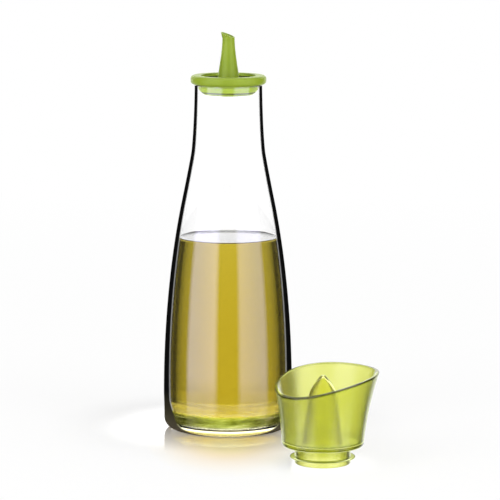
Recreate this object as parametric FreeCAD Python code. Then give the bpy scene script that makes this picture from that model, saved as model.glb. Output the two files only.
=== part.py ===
"""Oil cruet: a clear glass bottle part filled with oil, its plastic pourer, and the taken-off cap.

The frame stands on the table: the origin is the centre of the bottle's flat base, +Z points up,
and -Y is the side that the cap stands on. All sizes are in millimetres.

Nodes: bottle, oil, pourer, cap and cap_seal, one solid each.
"""
import FreeCAD
import Part
import math
import os

UP = FreeCAD.Vector(0, 0, 1)
FLAT = 1e-6                   # heights this close count as one
CUTTER_REACH = 20.0           # how far a cutting solid reaches past what it cuts

# --- Glass bottle: radii and heights of the outside, from the foot to the mouth ---
BELLY_RADIUS = 38.3           # widest place
HEEL_DRAW = 0.3               # how much narrower the side is at the top of the heel
HEEL_RADIUS = 6.0             # rounding between the foot and the side
BELLY_Z = 21.0
SHOULDER_RADIUS = 27.4        # where the belly's curve turns into the straight shoulder
SHOULDER_LENGTH = 29.5
SHOULDER_SLOPE = 0.205        # inward run for each unit of rise
NECK_ROOT_RADIUS = 21.75      # where the shoulder turns into the neck
NECK_LENGTH = 39.6
NECK_ROOT_SLOPE = 0.109
MOUTH_RADIUS = 19.9
BOTTLE_HEIGHT = 205.6
LIP_ROUND = 0.5               # fire-polished edges of the mouth

# Each curve's two handles, as shares of the rise of that stretch.
HEEL_HANDLES = (0.60, 0.13)
BELLY_HANDLES = (0.234, 0.384)
SHOULDER_HANDLES = (0.172, 0.119)
NECK_HANDLES = (0.313, 0.156)

# --- Glass thickness and the oil inside ---
BELLY_WALL = 2.4
SHOULDER_WALL = 2.2
NECK_WALL = 1.9
BASE_THICKNESS = 9.5
CAVITY_CORNER = 9.0           # rounding between the cavity's floor and its side
OIL_LEVEL = 114.0

# --- Pourer: rim on the mouth, plug in the neck, dish around the spout ---
RIM_OVERHANG = 2.45           # how far the rim stands out over the glass
RIM_HEIGHT = 5.3
RIM_ROUND = 2.0
DISH_EDGE_ROUND = 0.8
PLUG_WALL = 1.8
PLUG_LAND = 1.6               # upper stretch of the plug, which seals against the glass
PLUG_NOSE_INSET = 5.0         # how far the plug's rounded end draws in
PLUG_END_HANDLES = (1.2, 2.2)
DISH_FLOOR = 1.2

SPOUT_BASE_RADIUS = 7.3
SPOUT_BASE_FILLET = 1.2
SPOUT_NECK_RADIUS = 3.62      # narrow upper stretch, below the lip
SPOUT_NECK_RISE = 21.5        # above the rim's top, as are the two heights of its mouth
SPOUT_WALL = 0.9
SPOUT_HANDLE = 0.35           # reach of the side curve's two handles, as a share of its rise
SPOUT_TAPER_LOW = 0.19        # share of the taper taken by the lower handle, and by the upper
SPOUT_TAPER_HIGH = 0.08
LIP_TOP_RADIUS = 4.35         # oblique cone that carries the pouring lip
LIP_RISE = 5.6
LIP_WALL = 0.65
SPOUT_TIP_RISE = 25.5         # high point of the slanted mouth, at the lip
SPOUT_HEEL_RISE = 22.3        # low point of the slanted mouth, opposite the lip
LIP_TURN = 15.0               # degrees that the lip is turned from -X towards +Y

# --- Cap: stands beside the bottle on its neck; rises are above the underside of its body ---
CAP_X = 54.4
CAP_Y = -100.5
CAP_NECK_HEIGHT = 10.1
CAP_NECK_WALL = 2.0
CAP_NECK_EDGE = 0.7           # rounding of the neck's free end
CAP_FIT_GAP = 0.35            # between the cap's neck and the dish, all round
CAP_SEAT_GAP = 0.2            # between the neck's end and the dish floor when shut
CAP_BODY_RADIUS = 23.3
CAP_BODY_ROUND = 1.8          # lower outer edge of the body
CAP_WALL = 2.0
CAP_INNER_ROUND = 1.6
CAP_FLARE_RADIUS = 31.2       # radius that the side would reach at the top of the flare
CAP_FLARE_MID_RADIUS = 24.8
CAP_FLARE_RISE = 43.9
CAP_LEAN = 0.0325             # sideways run of the cup for each unit of rise
CAP_LEAN_HEADING = 36.8       # degrees from +X, the high side of the rim
CAP_RIM_HIGH_RISE = 42.3
CAP_RIM_HIGH_REACH = 29.4     # how far from the axis the rim is highest
CAP_RIM_SWEEP = 138.0         # radius of the curved cut that shapes the rim
CAP_RIM_ROUND = 0.4

CONE_BASE_RADIUS = 11.5       # hollow cone inside the cap, which covers the spout
CONE_WAIST_RADIUS = 8.3
CONE_WAIST_RISE = 26.9
CONE_TIP_RADIUS = 1.2         # small flat on the tip
CONE_TIP_RISE = 40.1
CONE_HOLLOW_TIP_RADIUS = 0.6
CONE_WALL = 1.8
CONE_TIP_HANDLES = (0.42, 0.45, 0.29)   # fullness of the curve between waist and tip

SEAL_REACH = 18.5             # radius of the clear lip seal on the cap's neck
SEAL_Z = 3.7
SEAL_ROOT_THICKNESS = 1.2
SEAL_EDGE_THICKNESS = 0.5

# --- Sizes that follow from the ones above ---
FOOT_RADIUS = BELLY_RADIUS - HEEL_DRAW - HEEL_RADIUS   # flat disc that the bottle stands on
NECK_ROOT_Z = BOTTLE_HEIGHT - NECK_LENGTH
SHOULDER_Z = NECK_ROOT_Z - SHOULDER_LENGTH
RIM_TOP_Z = BOTTLE_HEIGHT + RIM_HEIGHT
PLUG_RADIUS = MOUTH_RADIUS - NECK_WALL
DISH_RADIUS = PLUG_RADIUS - PLUG_WALL
DISH_DEPTH = CAP_NECK_HEIGHT + CAP_SEAT_GAP
DISH_FLOOR_Z = RIM_TOP_Z - DISH_DEPTH
PLUG_END_Z = DISH_FLOOR_Z - DISH_FLOOR
SPOUT_NECK_Z = RIM_TOP_Z + SPOUT_NECK_RISE
SPOUT_TIP_Z = RIM_TOP_Z + SPOUT_TIP_RISE
SPOUT_HEEL_Z = RIM_TOP_Z + SPOUT_HEEL_RISE
CAP_NECK_RADIUS = DISH_RADIUS - CAP_FIT_GAP
CAP_FLOOR_Z = CAP_NECK_HEIGHT + CAP_WALL
CAP_TOP_Z = CAP_NECK_HEIGHT + CAP_FLARE_RISE
CAP_RIM_HIGH_Z = CAP_NECK_HEIGHT + CAP_RIM_HIGH_RISE
CONE_WAIST_Z = CAP_NECK_HEIGHT + CONE_WAIST_RISE
CONE_TIP_Z = CAP_NECK_HEIGHT + CONE_TIP_RISE
CAP_PLACE = FreeCAD.Vector(CAP_X, CAP_Y, 0)


# --- Drawing in the half section: x is the radius, z the height ---
def point(radius, z):
    return FreeCAD.Vector(radius, 0, z)


def line(start, end):
    return Part.LineSegment(point(*start), point(*end)).toShape()


def bezier(*poles):
    curve = Part.BezierCurve()
    curve.setPoles([point(*pole) for pole in poles])
    return curve.toShape()


def corner_arc(start, end, centre):
    """Quarter circle from start to end about centre."""
    middle = ((start[0] + end[0]) / 2 - centre[0], (start[1] + end[1]) / 2 - centre[1])
    reach = math.dist(start, centre) / math.hypot(*middle)
    through = (centre[0] + middle[0] * reach, centre[1] + middle[1] * reach)
    return Part.Arc(point(*start), point(*through), point(*end)).toShape()


def turned(edges):
    """Solid of revolution about Z from the closed outline of a half section."""
    return Part.Face(Part.Wire(edges)).revolve(FreeCAD.Vector(), UP, 360)


def curve_between(low, high, low_slope, high_slope, handles):
    """Smooth stretch between two heights; a slope is the inward run for each unit of rise."""
    rise = high[1] - low[1]
    first = handles[0] * rise
    last = handles[1] * rise
    after_low = (low[0] - low_slope * first, low[1] + first)
    before_high = (high[0] + high_slope * last, high[1] - last)
    return bezier(low, after_low, before_high, high)


# --- Bottle and oil ---
def side_nodes(belly_wall, shoulder_wall, neck_wall):
    """Points of the bottle's side above the belly, moved in by the walls given."""
    return ((BELLY_RADIUS - belly_wall, BELLY_Z),
            (SHOULDER_RADIUS - shoulder_wall, SHOULDER_Z),
            (NECK_ROOT_RADIUS - neck_wall, NECK_ROOT_Z),
            (MOUTH_RADIUS - neck_wall, BOTTLE_HEIGHT))


def side_curves(belly, shoulder, neck_root, mouth):
    return [curve_between(belly, shoulder, 0, SHOULDER_SLOPE, BELLY_HANDLES),
            curve_between(shoulder, neck_root, SHOULDER_SLOPE, NECK_ROOT_SLOPE, SHOULDER_HANDLES),
            curve_between(neck_root, mouth, NECK_ROOT_SLOPE, 0, NECK_HANDLES)]


def outer_body():
    """The bottle as if it were solid glass, up to the flat of its mouth."""
    nodes = side_nodes(0, 0, 0)
    heel_top = (FOOT_RADIUS + HEEL_RADIUS, HEEL_RADIUS)
    edges = [line((0, 0), (FOOT_RADIUS, 0)),
             corner_arc((FOOT_RADIUS, 0), heel_top, (FOOT_RADIUS, HEEL_RADIUS)),
             curve_between(heel_top, nodes[0], 0, 0, HEEL_HANDLES)]
    edges += side_curves(*nodes)
    edges += [line(nodes[-1], (0, BOTTLE_HEIGHT)), line((0, BOTTLE_HEIGHT), (0, 0))]
    return turned(edges)


def cavity():
    """The space inside the bottle, from its floor to the mouth."""
    nodes = side_nodes(BELLY_WALL, SHOULDER_WALL, NECK_WALL)
    radius = nodes[0][0]
    corner_top = (radius, BASE_THICKNESS + CAVITY_CORNER)
    corner_end = (radius - CAVITY_CORNER, BASE_THICKNESS)
    edges = [line((0, BASE_THICKNESS), corner_end),
             corner_arc(corner_end, corner_top, (corner_end[0], corner_top[1])),
             line(corner_top, nodes[0])]
    edges += side_curves(*nodes)
    edges += [line(nodes[-1], (0, BOTTLE_HEIGHT)), line((0, BOTTLE_HEIGHT), (0, BASE_THICKNESS))]
    return turned(edges)


def mouth_edges(shape):
    """Circles of the mouth, at the bottle's full height."""
    return [edge for edge in shape.Edges
            if edge.BoundBox.ZLength < FLAT and abs(edge.BoundBox.ZMax - BOTTLE_HEIGHT) < FLAT]


def bottle():
    glass = outer_body().cut(cavity())
    return glass.makeFillet(LIP_ROUND, mouth_edges(glass))


def oil():
    below_level = Part.makeCylinder(BELLY_RADIUS, OIL_LEVEL)
    return cavity().common(below_level)


# --- Pourer ---
def pourer_body():
    """Rim, plug and dish, with a closed dish floor."""
    rim_radius = MOUTH_RADIUS + RIM_OVERHANG
    land_end = (PLUG_RADIUS, BOTTLE_HEIGHT - PLUG_LAND)
    nose = (PLUG_RADIUS - PLUG_NOSE_INSET, PLUG_END_Z)
    nose_drop, nose_run = PLUG_END_HANDLES
    bowl_top = (DISH_RADIUS, BOTTLE_HEIGHT - PLUG_LAND)
    bowl_end = (DISH_RADIUS - PLUG_NOSE_INSET, DISH_FLOOR_Z)
    edges = [
        line((0, PLUG_END_Z), nose),
        bezier(nose, (nose[0] + nose_run, PLUG_END_Z), (PLUG_RADIUS, land_end[1] - nose_drop), land_end),
        line(land_end, (PLUG_RADIUS, BOTTLE_HEIGHT)),
        line((PLUG_RADIUS, BOTTLE_HEIGHT), (rim_radius - RIM_ROUND, BOTTLE_HEIGHT)),
        corner_arc((rim_radius - RIM_ROUND, BOTTLE_HEIGHT), (rim_radius, BOTTLE_HEIGHT + RIM_ROUND),
                   (rim_radius - RIM_ROUND, BOTTLE_HEIGHT + RIM_ROUND)),
        line((rim_radius, BOTTLE_HEIGHT + RIM_ROUND), (rim_radius, RIM_TOP_Z - RIM_ROUND)),
        corner_arc((rim_radius, RIM_TOP_Z - RIM_ROUND), (rim_radius - RIM_ROUND, RIM_TOP_Z),
                   (rim_radius - RIM_ROUND, RIM_TOP_Z - RIM_ROUND)),
        line((rim_radius - RIM_ROUND, RIM_TOP_Z), (DISH_RADIUS + DISH_EDGE_ROUND, RIM_TOP_Z)),
        corner_arc((DISH_RADIUS + DISH_EDGE_ROUND, RIM_TOP_Z),
                   (DISH_RADIUS, RIM_TOP_Z - DISH_EDGE_ROUND),
                   (DISH_RADIUS + DISH_EDGE_ROUND, RIM_TOP_Z - DISH_EDGE_ROUND)),
        line((DISH_RADIUS, RIM_TOP_Z - DISH_EDGE_ROUND), bowl_top),
        bezier(bowl_top, (DISH_RADIUS, bowl_top[1] - nose_drop), (bowl_end[0] + nose_run, DISH_FLOOR_Z),
               bowl_end),
        line(bowl_end, (0, DISH_FLOOR_Z)),
        line((0, DISH_FLOOR_Z), (0, PLUG_END_Z))]
    return turned(edges)


def spout_side(inset):
    """Long tapering side of the spout above its fillet, moved in by inset."""
    low = (SPOUT_BASE_RADIUS - inset, DISH_FLOOR_Z)
    high = (SPOUT_NECK_RADIUS - inset, SPOUT_NECK_Z)
    handle = SPOUT_HANDLE * (high[1] - low[1])
    taper = low[0] - high[0]
    return bezier(low, (low[0] - SPOUT_TAPER_LOW * taper, low[1] + handle),
                  (high[0] + SPOUT_TAPER_HIGH * taper, high[1] - handle), high)


def oblique_cone(low_radius, high_radius):
    """Upper end of the spout: a cone that leans over so that only the lip side stands out."""
    lean = high_radius - low_radius
    low = Part.Wire(Part.makeCircle(low_radius, FreeCAD.Vector(0, 0, SPOUT_NECK_Z), UP))
    high = Part.Wire(Part.makeCircle(high_radius, FreeCAD.Vector(-lean, 0, SPOUT_NECK_Z + LIP_RISE), UP))
    return Part.makeLoft([low, high], True, True)


def spout_outside():
    side = spout_side(0)
    fillet_low = (SPOUT_BASE_RADIUS + SPOUT_BASE_FILLET, DISH_FLOOR_Z)
    fillet_high = (SPOUT_BASE_RADIUS, DISH_FLOOR_Z + SPOUT_BASE_FILLET)
    fillet = turned([
        corner_arc(fillet_low, fillet_high, (fillet_low[0], fillet_high[1])),
        line(fillet_high, (0, fillet_high[1])),
        line((0, fillet_high[1]), (0, PLUG_END_Z)),
        line((0, PLUG_END_Z), (fillet_low[0], PLUG_END_Z)),
        line((fillet_low[0], PLUG_END_Z), fillet_low)])
    shaft = turned([side,
                    line((SPOUT_NECK_RADIUS, SPOUT_NECK_Z), (0, SPOUT_NECK_Z)),
                    line((0, SPOUT_NECK_Z), (0, DISH_FLOOR_Z)),
                    line((0, DISH_FLOOR_Z), (SPOUT_BASE_RADIUS, DISH_FLOOR_Z))])
    return fillet.fuse(shaft).fuse(oblique_cone(SPOUT_NECK_RADIUS, LIP_TOP_RADIUS))


def spout_bore():
    """Channel through the spout, open at the plug's end and at the lip."""
    below = PLUG_END_Z - DISH_FLOOR
    base = SPOUT_BASE_RADIUS - SPOUT_WALL
    neck = SPOUT_NECK_RADIUS - SPOUT_WALL
    shaft = turned([line((0, below), (base, below)),
                    line((base, below), (base, DISH_FLOOR_Z)),
                    spout_side(SPOUT_WALL),
                    line((neck, SPOUT_NECK_Z), (0, SPOUT_NECK_Z)),
                    line((0, SPOUT_NECK_Z), (0, below))])
    return shaft.fuse(oblique_cone(neck, LIP_TOP_RADIUS - LIP_WALL))


def above_spout_mouth():
    """Block over the slanted mouth, from the lip's tip down to the side opposite."""
    tip_x = SPOUT_NECK_RADIUS - 2 * LIP_TOP_RADIUS
    slope = (SPOUT_TIP_Z - SPOUT_HEEL_Z) / (SPOUT_NECK_RADIUS - tip_x)
    left = tip_x - CUTTER_REACH
    left_z = SPOUT_TIP_Z + slope * CUTTER_REACH
    right = SPOUT_NECK_RADIUS + CUTTER_REACH
    right_z = SPOUT_HEEL_Z - slope * CUTTER_REACH
    corners = [FreeCAD.Vector(x, -CUTTER_REACH, z)
               for x, z in ((left, left_z), (right, right_z), (right, left_z + LIP_RISE),
                            (left, left_z + LIP_RISE))]
    face = Part.Face(Part.makePolygon(corners + corners[:1]))
    return face.extrude(FreeCAD.Vector(0, 2 * CUTTER_REACH, 0))


def pourer():
    spout = spout_outside().cut(above_spout_mouth())
    whole = pourer_body().fuse(spout).cut(spout_bore())
    whole.rotate(FreeCAD.Vector(), UP, -LIP_TURN)
    return whole.removeSplitter()


# --- Cap ---
def leaned(shape):
    """Cup of the cap, leaning towards the high side of its rim as it rises."""
    heading = math.radians(CAP_LEAN_HEADING)
    shear = FreeCAD.Matrix()
    shear.A13 = CAP_LEAN * math.cos(heading)
    shear.A14 = -shear.A13 * CAP_NECK_HEIGHT
    shear.A23 = CAP_LEAN * math.sin(heading)
    shear.A24 = -shear.A23 * CAP_NECK_HEIGHT
    return shape.transformGeometry(shear)


def cup_solid(inset, floor_z, edge_round):
    """The cap's flared body as a full solid, moved in by inset, over a flat floor."""
    low_z = floor_z + edge_round
    low = (CAP_BODY_RADIUS - inset, low_z)
    high = (CAP_FLARE_RADIUS - inset, CAP_TOP_Z)
    middle = (CAP_FLARE_MID_RADIUS - inset, (low_z + CAP_TOP_Z) / 2)
    edges = [line((0, floor_z), (low[0] - edge_round, floor_z)),
             corner_arc((low[0] - edge_round, floor_z), low, (low[0] - edge_round, low_z)),
             bezier(low, middle, high),
             line(high, (0, CAP_TOP_Z)),
             line((0, CAP_TOP_Z), (0, floor_z))]
    return leaned(turned(edges))


def cone_solid(wall, tip_radius, foot_z):
    """The cone over the spout as a full solid, moved in by wall and down from its tip by as much."""
    base = (CONE_BASE_RADIUS - wall, CAP_FLOOR_Z)
    waist = (CONE_WAIST_RADIUS - wall, CONE_WAIST_Z)
    tip = (tip_radius, CONE_TIP_Z - wall)
    lean = (base[0] - waist[0]) / (waist[1] - base[1])
    rise = tip[1] - waist[1]
    waist_handle, tip_inset, tip_drop = CONE_TIP_HANDLES
    after_waist = (waist[0] - waist_handle * rise * lean, waist[1] + waist_handle * rise)
    before_tip = (tip[0] + tip_inset * (waist[0] - tip[0]), tip[1] - tip_drop * rise)
    foot = (base[0] + lean * (base[1] - foot_z), foot_z)
    edges = [line((0, foot_z), foot),
             line(foot, waist),
             bezier(waist, after_waist, before_tip, tip),
             line(tip, (0, tip[1])),
             line((0, tip[1]), (0, foot_z))]
    return turned(edges)


def cap_neck():
    inner = CAP_NECK_RADIUS - CAP_NECK_WALL
    edge = CAP_NECK_EDGE
    edges = [line((inner, 0), (CAP_NECK_RADIUS - edge, 0)),
             corner_arc((CAP_NECK_RADIUS - edge, 0), (CAP_NECK_RADIUS, edge), (CAP_NECK_RADIUS - edge, edge)),
             line((CAP_NECK_RADIUS, edge), (CAP_NECK_RADIUS, CAP_FLOOR_Z)),
             line((CAP_NECK_RADIUS, CAP_FLOOR_Z), (inner, CAP_FLOOR_Z)),
             line((inner, CAP_FLOOR_Z), (inner, 0))]
    return turned(edges)


def under_rim_sweep():
    """Big lying cylinder whose top gives the rim its slanted, gently curved edge."""
    heading = math.radians(CAP_LEAN_HEADING)
    outward = FreeCAD.Vector(math.cos(heading), math.sin(heading), 0)
    across = FreeCAD.Vector(-outward.y, outward.x, 0)
    length = 2 * (CAP_FLARE_RADIUS + CUTTER_REACH)
    start = outward * CAP_RIM_HIGH_REACH + UP * (CAP_RIM_HIGH_Z - CAP_RIM_SWEEP) - across * (length / 2)
    return Part.makeCylinder(CAP_RIM_SWEEP, length, start, across)


def rim_edges(shape):
    """The two long edges where the sweep cuts the cup's outside and inside."""
    half_way_up = (CAP_FLOOR_Z + CAP_RIM_HIGH_Z) / 2
    return [edge for edge in shape.Edges
            if edge.BoundBox.ZMin > half_way_up and edge.BoundBox.XLength > CAP_NECK_RADIUS]


def cap():
    cup = cup_solid(0, CAP_NECK_HEIGHT, CAP_BODY_ROUND).cut(cup_solid(CAP_WALL, CAP_FLOOR_Z, CAP_INNER_ROUND))
    cup = cup.common(under_rim_sweep())
    cup = cup.makeFillet(CAP_RIM_ROUND, rim_edges(cup))
    whole = cup.fuse(cap_neck()).fuse(cone_solid(0, CONE_TIP_RADIUS, CAP_NECK_HEIGHT))
    whole = whole.cut(cone_solid(CONE_WALL, CONE_HOLLOW_TIP_RADIUS, CAP_NECK_HEIGHT - CAP_WALL))
    whole.translate(CAP_PLACE)
    return whole.removeSplitter()


def cap_seal():
    """Clear ring around the cap's neck, thinning towards its free edge."""
    root = SEAL_ROOT_THICKNESS / 2
    tip = SEAL_EDGE_THICKNESS / 2
    seal = turned([line((CAP_NECK_RADIUS, SEAL_Z - root), (SEAL_REACH - tip, SEAL_Z - tip)),
                   Part.Arc(point(SEAL_REACH - tip, SEAL_Z - tip), point(SEAL_REACH, SEAL_Z),
                            point(SEAL_REACH - tip, SEAL_Z + tip)).toShape(),
                   line((SEAL_REACH - tip, SEAL_Z + tip), (CAP_NECK_RADIUS, SEAL_Z + root)),
                   line((CAP_NECK_RADIUS, SEAL_Z + root), (CAP_NECK_RADIUS, SEAL_Z - root))])
    seal.translate(CAP_PLACE)
    return seal


def save(node, shape):
    solids = shape.Solids
    if len(solids) != 1:
        raise ValueError(f"{node} has {len(solids)} solids")
    solids[0].exportStep(f"parts/{node}.step")
    box = shape.BoundBox
    print(f"{node}: {shape.Volume / 1000:.2f} cm3, x {box.XMin:.2f}..{box.XMax:.2f}, "
          f"y {box.YMin:.2f}..{box.YMax:.2f}, z {box.ZMin:.2f}..{box.ZMax:.2f}, valid {shape.isValid()}")


os.makedirs("parts", exist_ok=True)
save("bottle", bottle())
save("oil", oil())
save("pourer", pourer())
save("cap", cap())
save("cap_seal", cap_seal())
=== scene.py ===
import math

import bmesh
import bpy
from mathutils import Matrix, Vector
from mathutils.geometry import interpolate_bezier


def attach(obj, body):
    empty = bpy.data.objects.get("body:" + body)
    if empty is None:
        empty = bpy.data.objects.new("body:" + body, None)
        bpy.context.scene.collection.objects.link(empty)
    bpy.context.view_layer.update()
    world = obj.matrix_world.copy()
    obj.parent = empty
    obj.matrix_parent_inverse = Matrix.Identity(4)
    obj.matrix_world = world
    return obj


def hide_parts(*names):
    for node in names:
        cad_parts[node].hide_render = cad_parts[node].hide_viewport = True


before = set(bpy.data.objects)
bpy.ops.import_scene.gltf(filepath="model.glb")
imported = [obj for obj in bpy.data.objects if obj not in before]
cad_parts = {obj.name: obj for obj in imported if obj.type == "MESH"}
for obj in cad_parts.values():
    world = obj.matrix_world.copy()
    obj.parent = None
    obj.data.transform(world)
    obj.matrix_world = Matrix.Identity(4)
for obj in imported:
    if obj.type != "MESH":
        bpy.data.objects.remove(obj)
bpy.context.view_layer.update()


# --- Camera ---
# A long lens on a tripod in front of the table, higher than the pourer and tipped down towards
# the foot of the bottle. The tripod head leans by a fraction of a degree.
MM = 0.001
CAMERA_PLACE = Vector((13.0, -1718.2, 358.3)) * MM
CAMERA_TIP = math.radians(8.33)
CAMERA_ROLL = math.radians(0.17)
SENSOR_WIDTH = 36.0
LENS_LENGTH = 210.24
NEAREST, FARTHEST = 0.05, 60.0

camera = bpy.data.objects.new("camera", bpy.data.cameras.new("camera"))
bpy.context.scene.collection.objects.link(camera)
camera.data.sensor_width = SENSOR_WIDTH
camera.data.lens = LENS_LENGTH
camera.data.clip_start = NEAREST
camera.data.clip_end = FARTHEST
camera.matrix_world = (Matrix.Translation(CAMERA_PLACE)
                       @ Matrix.Rotation(math.pi / 2 - CAMERA_TIP, 4, "X")
                       @ Matrix.Rotation(CAMERA_ROLL, 4, "Z"))
bpy.context.scene.camera = camera
bpy.context.scene.view_settings.view_transform = "Standard"


# --- Tabletop ---
# A wide sheet of polished white acrylic. Its gloss gives the soft reflection under each foot,
# and further out it gives way to plain white, so that it meets the sweep without an edge.
FLOOR_RADIUS = 14.0
FLOOR_STEPS = 96
FLOOR_DROP = 0.00006          # air left under each foot
GLOSS_ROUGHNESS = 0.05
# Gloss round each foot: its place, the distances where it starts and ends to fade, its strength.
POLISH = (((0.0, 0.0), 0.034, 0.088, 0.45), ((0.0544, -0.1005), 0.010, 0.042, 0.14))
# How far the sheet's own shading gives way to plain white, by distance from the bottle's axis.
WHITENESS = ((0.045, 0.18), (0.11, 0.78), (0.30, 0.86), (1.10, 1.0))
WHITENESS_REACH = 1.2
# A painted warm glow on the sheet in front of the foot, standing in for light that has come through
# the oil. It goes by distance from a spot just behind the foot's front edge.
PAINTED_GLOW_SPOT = (0.0, -0.040)
PAINTED_GLOW_SQUEEZE = 2.1            # the warm patch is this many times deeper than it is wide
PAINTED_GLOW_TINTS = ((0.010, (1.0, 0.92, 0.58)), (0.027, (1.0, 0.86, 0.50)), (0.044, (1.0, 0.86, 0.62)),
          (0.060, (1.0, 0.91, 0.78)), (0.085, (1.0, 0.98, 0.94)), (0.100, (1.0, 1.0, 1.0)))
PAINTED_GLOW_REACH = 0.2
GLASS_LOSS = 1.12             # white seen through glass, made up for what the glass holds back
WHITE = (1.0, 1.0, 1.0)
BLACK = (0.0, 0.0, 0.0)


def make_object(name, bm, material):
    """Turns a finished mesh under construction into an object with this material."""
    mesh = bpy.data.meshes.new(name)
    bm.to_mesh(mesh)
    bm.free()
    mesh.materials.append(material)
    made = bpy.data.objects.new(name, mesh)
    bpy.context.scene.collection.objects.link(made)
    return made


class Nodes:
    """A node tree, with short calls to add nodes to it and join them. In place of a socket,
    each call also takes a plain number, vector or colour."""

    def __init__(self, tree):
        self.tree = tree

    def node(self, kind, values=(), **settings):
        made = self.tree.nodes.new("ShaderNode" + kind)
        for name, value in settings.items():
            setattr(made, name, value)
        for name, value in dict(values).items():
            made.inputs[name].default_value = value
        return made

    def join(self, source, target):
        if isinstance(source, bpy.types.NodeSocket):
            self.tree.links.new(source, target)
        elif isinstance(source, tuple):
            target.default_value = (*source, 1.0)[:len(target.default_value)]
        else:
            target.default_value = source

    def math(self, operation, *values):
        made = self.node("Math", operation=operation)
        for value, target in zip(values, made.inputs):
            self.join(value, target)
        return made.outputs["Value"]

    def multiply(self, first, second):
        return self.math("MULTIPLY", first, second)

    def larger(self, first, second):
        return self.math("MAXIMUM", first, second)

    def vector(self, operation, *values, result="Value"):
        made = self.node("VectorMath", operation=operation)
        for value, target in zip(values, made.inputs):
            self.join(value, target)
        return made.outputs[result]

    def spread(self, source, low, high, start=0.0, end=1.0, curve="LINEAR"):
        """Maps source from start..end to low..high."""
        made = self.node("MapRange", {"From Min": start, "From Max": end, "To Min": low, "To Max": high},
                         interpolation_type=curve)
        self.join(source, made.inputs["Value"])
        return made.outputs["Result"]

    def ramp(self, factor, *stops):
        """Colour ramp over (place, colour) stops."""
        made = self.node("ValToRGB")
        elements = made.color_ramp.elements
        while len(elements) < len(stops):
            elements.new(0.5)
        for element, (place, colour) in zip(elements, stops):
            element.position = place
            element.color = (*colour, 1.0)
        self.join(factor, made.inputs["Fac"])
        return made.outputs["Color"]

    def mix(self, factor, first, second, how="MIX"):
        """Mixes two colours."""
        made = self.node("Mix", data_type="RGBA", blend_type=how)
        for value, place in ((factor, 0), (first, 6), (second, 7)):
            self.join(value, made.inputs[place])
        return made.outputs[2]

    def blend(self, factor, first, second):
        """Mixes two shaders."""
        made = self.node("MixShader")
        for value, target in zip((factor, first, second), made.inputs):
            self.join(value, target)
        return made.outputs["Shader"]


class Finish(Nodes):
    """A new material around one Principled shader."""

    def __init__(self, name):
        self.material = bpy.data.materials.new(name)
        self.material.use_nodes = True
        super().__init__(self.material.node_tree)
        self.shader = self.tree.nodes["Principled BSDF"]
        self.output = self.tree.nodes["Material Output"]

    def set(self, **values):
        """Sets sockets of the shader; an underscore in a name stands for a space."""
        for name, value in values.items():
            self.shader.inputs[name.replace("_", " ")].default_value = value

    def feed(self, source, name):
        """Joins a socket to one of the shader's."""
        self.join(source, self.shader.inputs[name])

    def mark(self, name):
        """The number that the mesh keeps under this name."""
        return self.node("Attribute", attribute_name=name).outputs["Fac"]

    def facing(self):
        """0 where the surface is seen square on, 1 where it is seen edge on."""
        return self.node("LayerWeight", {"Blend": 0.5}).outputs["Facing"]

    def noise(self, scale, detail=2.0, roughness=0.5, squash=None):
        """Noise fixed to the piece; scale is in lumps for each metre."""
        place = self.node("TexCoord").outputs["Object"]
        if squash:
            scaled = self.node("Mapping", {"Scale": squash}, vector_type="POINT")
            self.join(place, scaled.inputs["Vector"])
            place = scaled.outputs["Vector"]
        made = self.node("TexNoise", {"Scale": scale, "Detail": detail, "Roughness": roughness})
        self.join(place, made.inputs["Vector"])
        return made.outputs["Fac"]

    def bump(self, height, distance, strength=1.0):
        made = self.node("Bump", {"Distance": distance, "Strength": strength})
        self.join(height, made.inputs["Height"])
        self.feed(made.outputs["Normal"], "Normal")


acrylic = Finish("white_acrylic")
acrylic.tree.nodes.remove(acrylic.shader)
path = acrylic.node("LightPath").outputs
spot = acrylic.node("NewGeometry").outputs["Position"]

far = acrylic.spread(acrylic.vector("LENGTH", spot), 0.0, 1.0, 0.0, WHITENESS_REACH)
whiteness = acrylic.ramp(far, *[(distance / WHITENESS_REACH, (share,) * 3) for distance, share in WHITENESS])
squeezed = acrylic.vector("MULTIPLY", spot, (PAINTED_GLOW_SQUEEZE, 1.0, 1.0), result="Vector")
near = acrylic.vector("DISTANCE", squeezed, (PAINTED_GLOW_SPOT[0] * PAINTED_GLOW_SQUEEZE, PAINTED_GLOW_SPOT[1], 0.0))
painted_glow = acrylic.ramp(acrylic.spread(near, 0.0, 1.0, 0.0, PAINTED_GLOW_REACH),
                      *[(distance / PAINTED_GLOW_REACH, colour) for distance, colour in PAINTED_GLOW_TINTS])

# The sheet's own dull white and the plain white that the camera sees, both with the painted warm glow;
# rays through glass see plain white.
matt = acrylic.node("BsdfDiffuse")
acrylic.join(painted_glow, matt.inputs["Color"])
plain = acrylic.node("Emission")
acrylic.join(acrylic.mix(path["Is Transmission Ray"], painted_glow, WHITE), plain.inputs["Color"])
acrylic.join(acrylic.spread(path["Is Transmission Ray"], 1.0, GLASS_LOSS), plain.inputs["Strength"])
seen = acrylic.larger(acrylic.multiply(path["Is Camera Ray"], whiteness), path["Is Transmission Ray"])
body = acrylic.blend(seen, matt.outputs["BSDF"], plain.outputs["Emission"])

gloss = acrylic.node("BsdfAnisotropic", {"Color": (1.0, 1.0, 1.0, 1.0), "Roughness": GLOSS_ROUGHNESS})
polish = 0.0
for (x, y), start, end, strength in POLISH:
    away = acrylic.vector("DISTANCE", spot, (x, y, -FLOOR_DROP))
    polish = acrylic.larger(acrylic.spread(away, strength, 0.0, start, end, "SMOOTHERSTEP"), polish)
acrylic.join(acrylic.blend(polish, body, gloss.outputs["BSDF"]), acrylic.output.inputs["Surface"])

sheet = bmesh.new()
bmesh.ops.create_circle(sheet, cap_ends=True, segments=FLOOR_STEPS, radius=FLOOR_RADIUS)
bmesh.ops.translate(sheet, verts=sheet.verts, vec=(0.0, 0.0, -FLOOR_DROP))
tabletop = make_object("tabletop", sheet, acrylic.material)
tabletop.visible_glossy = False


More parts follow.
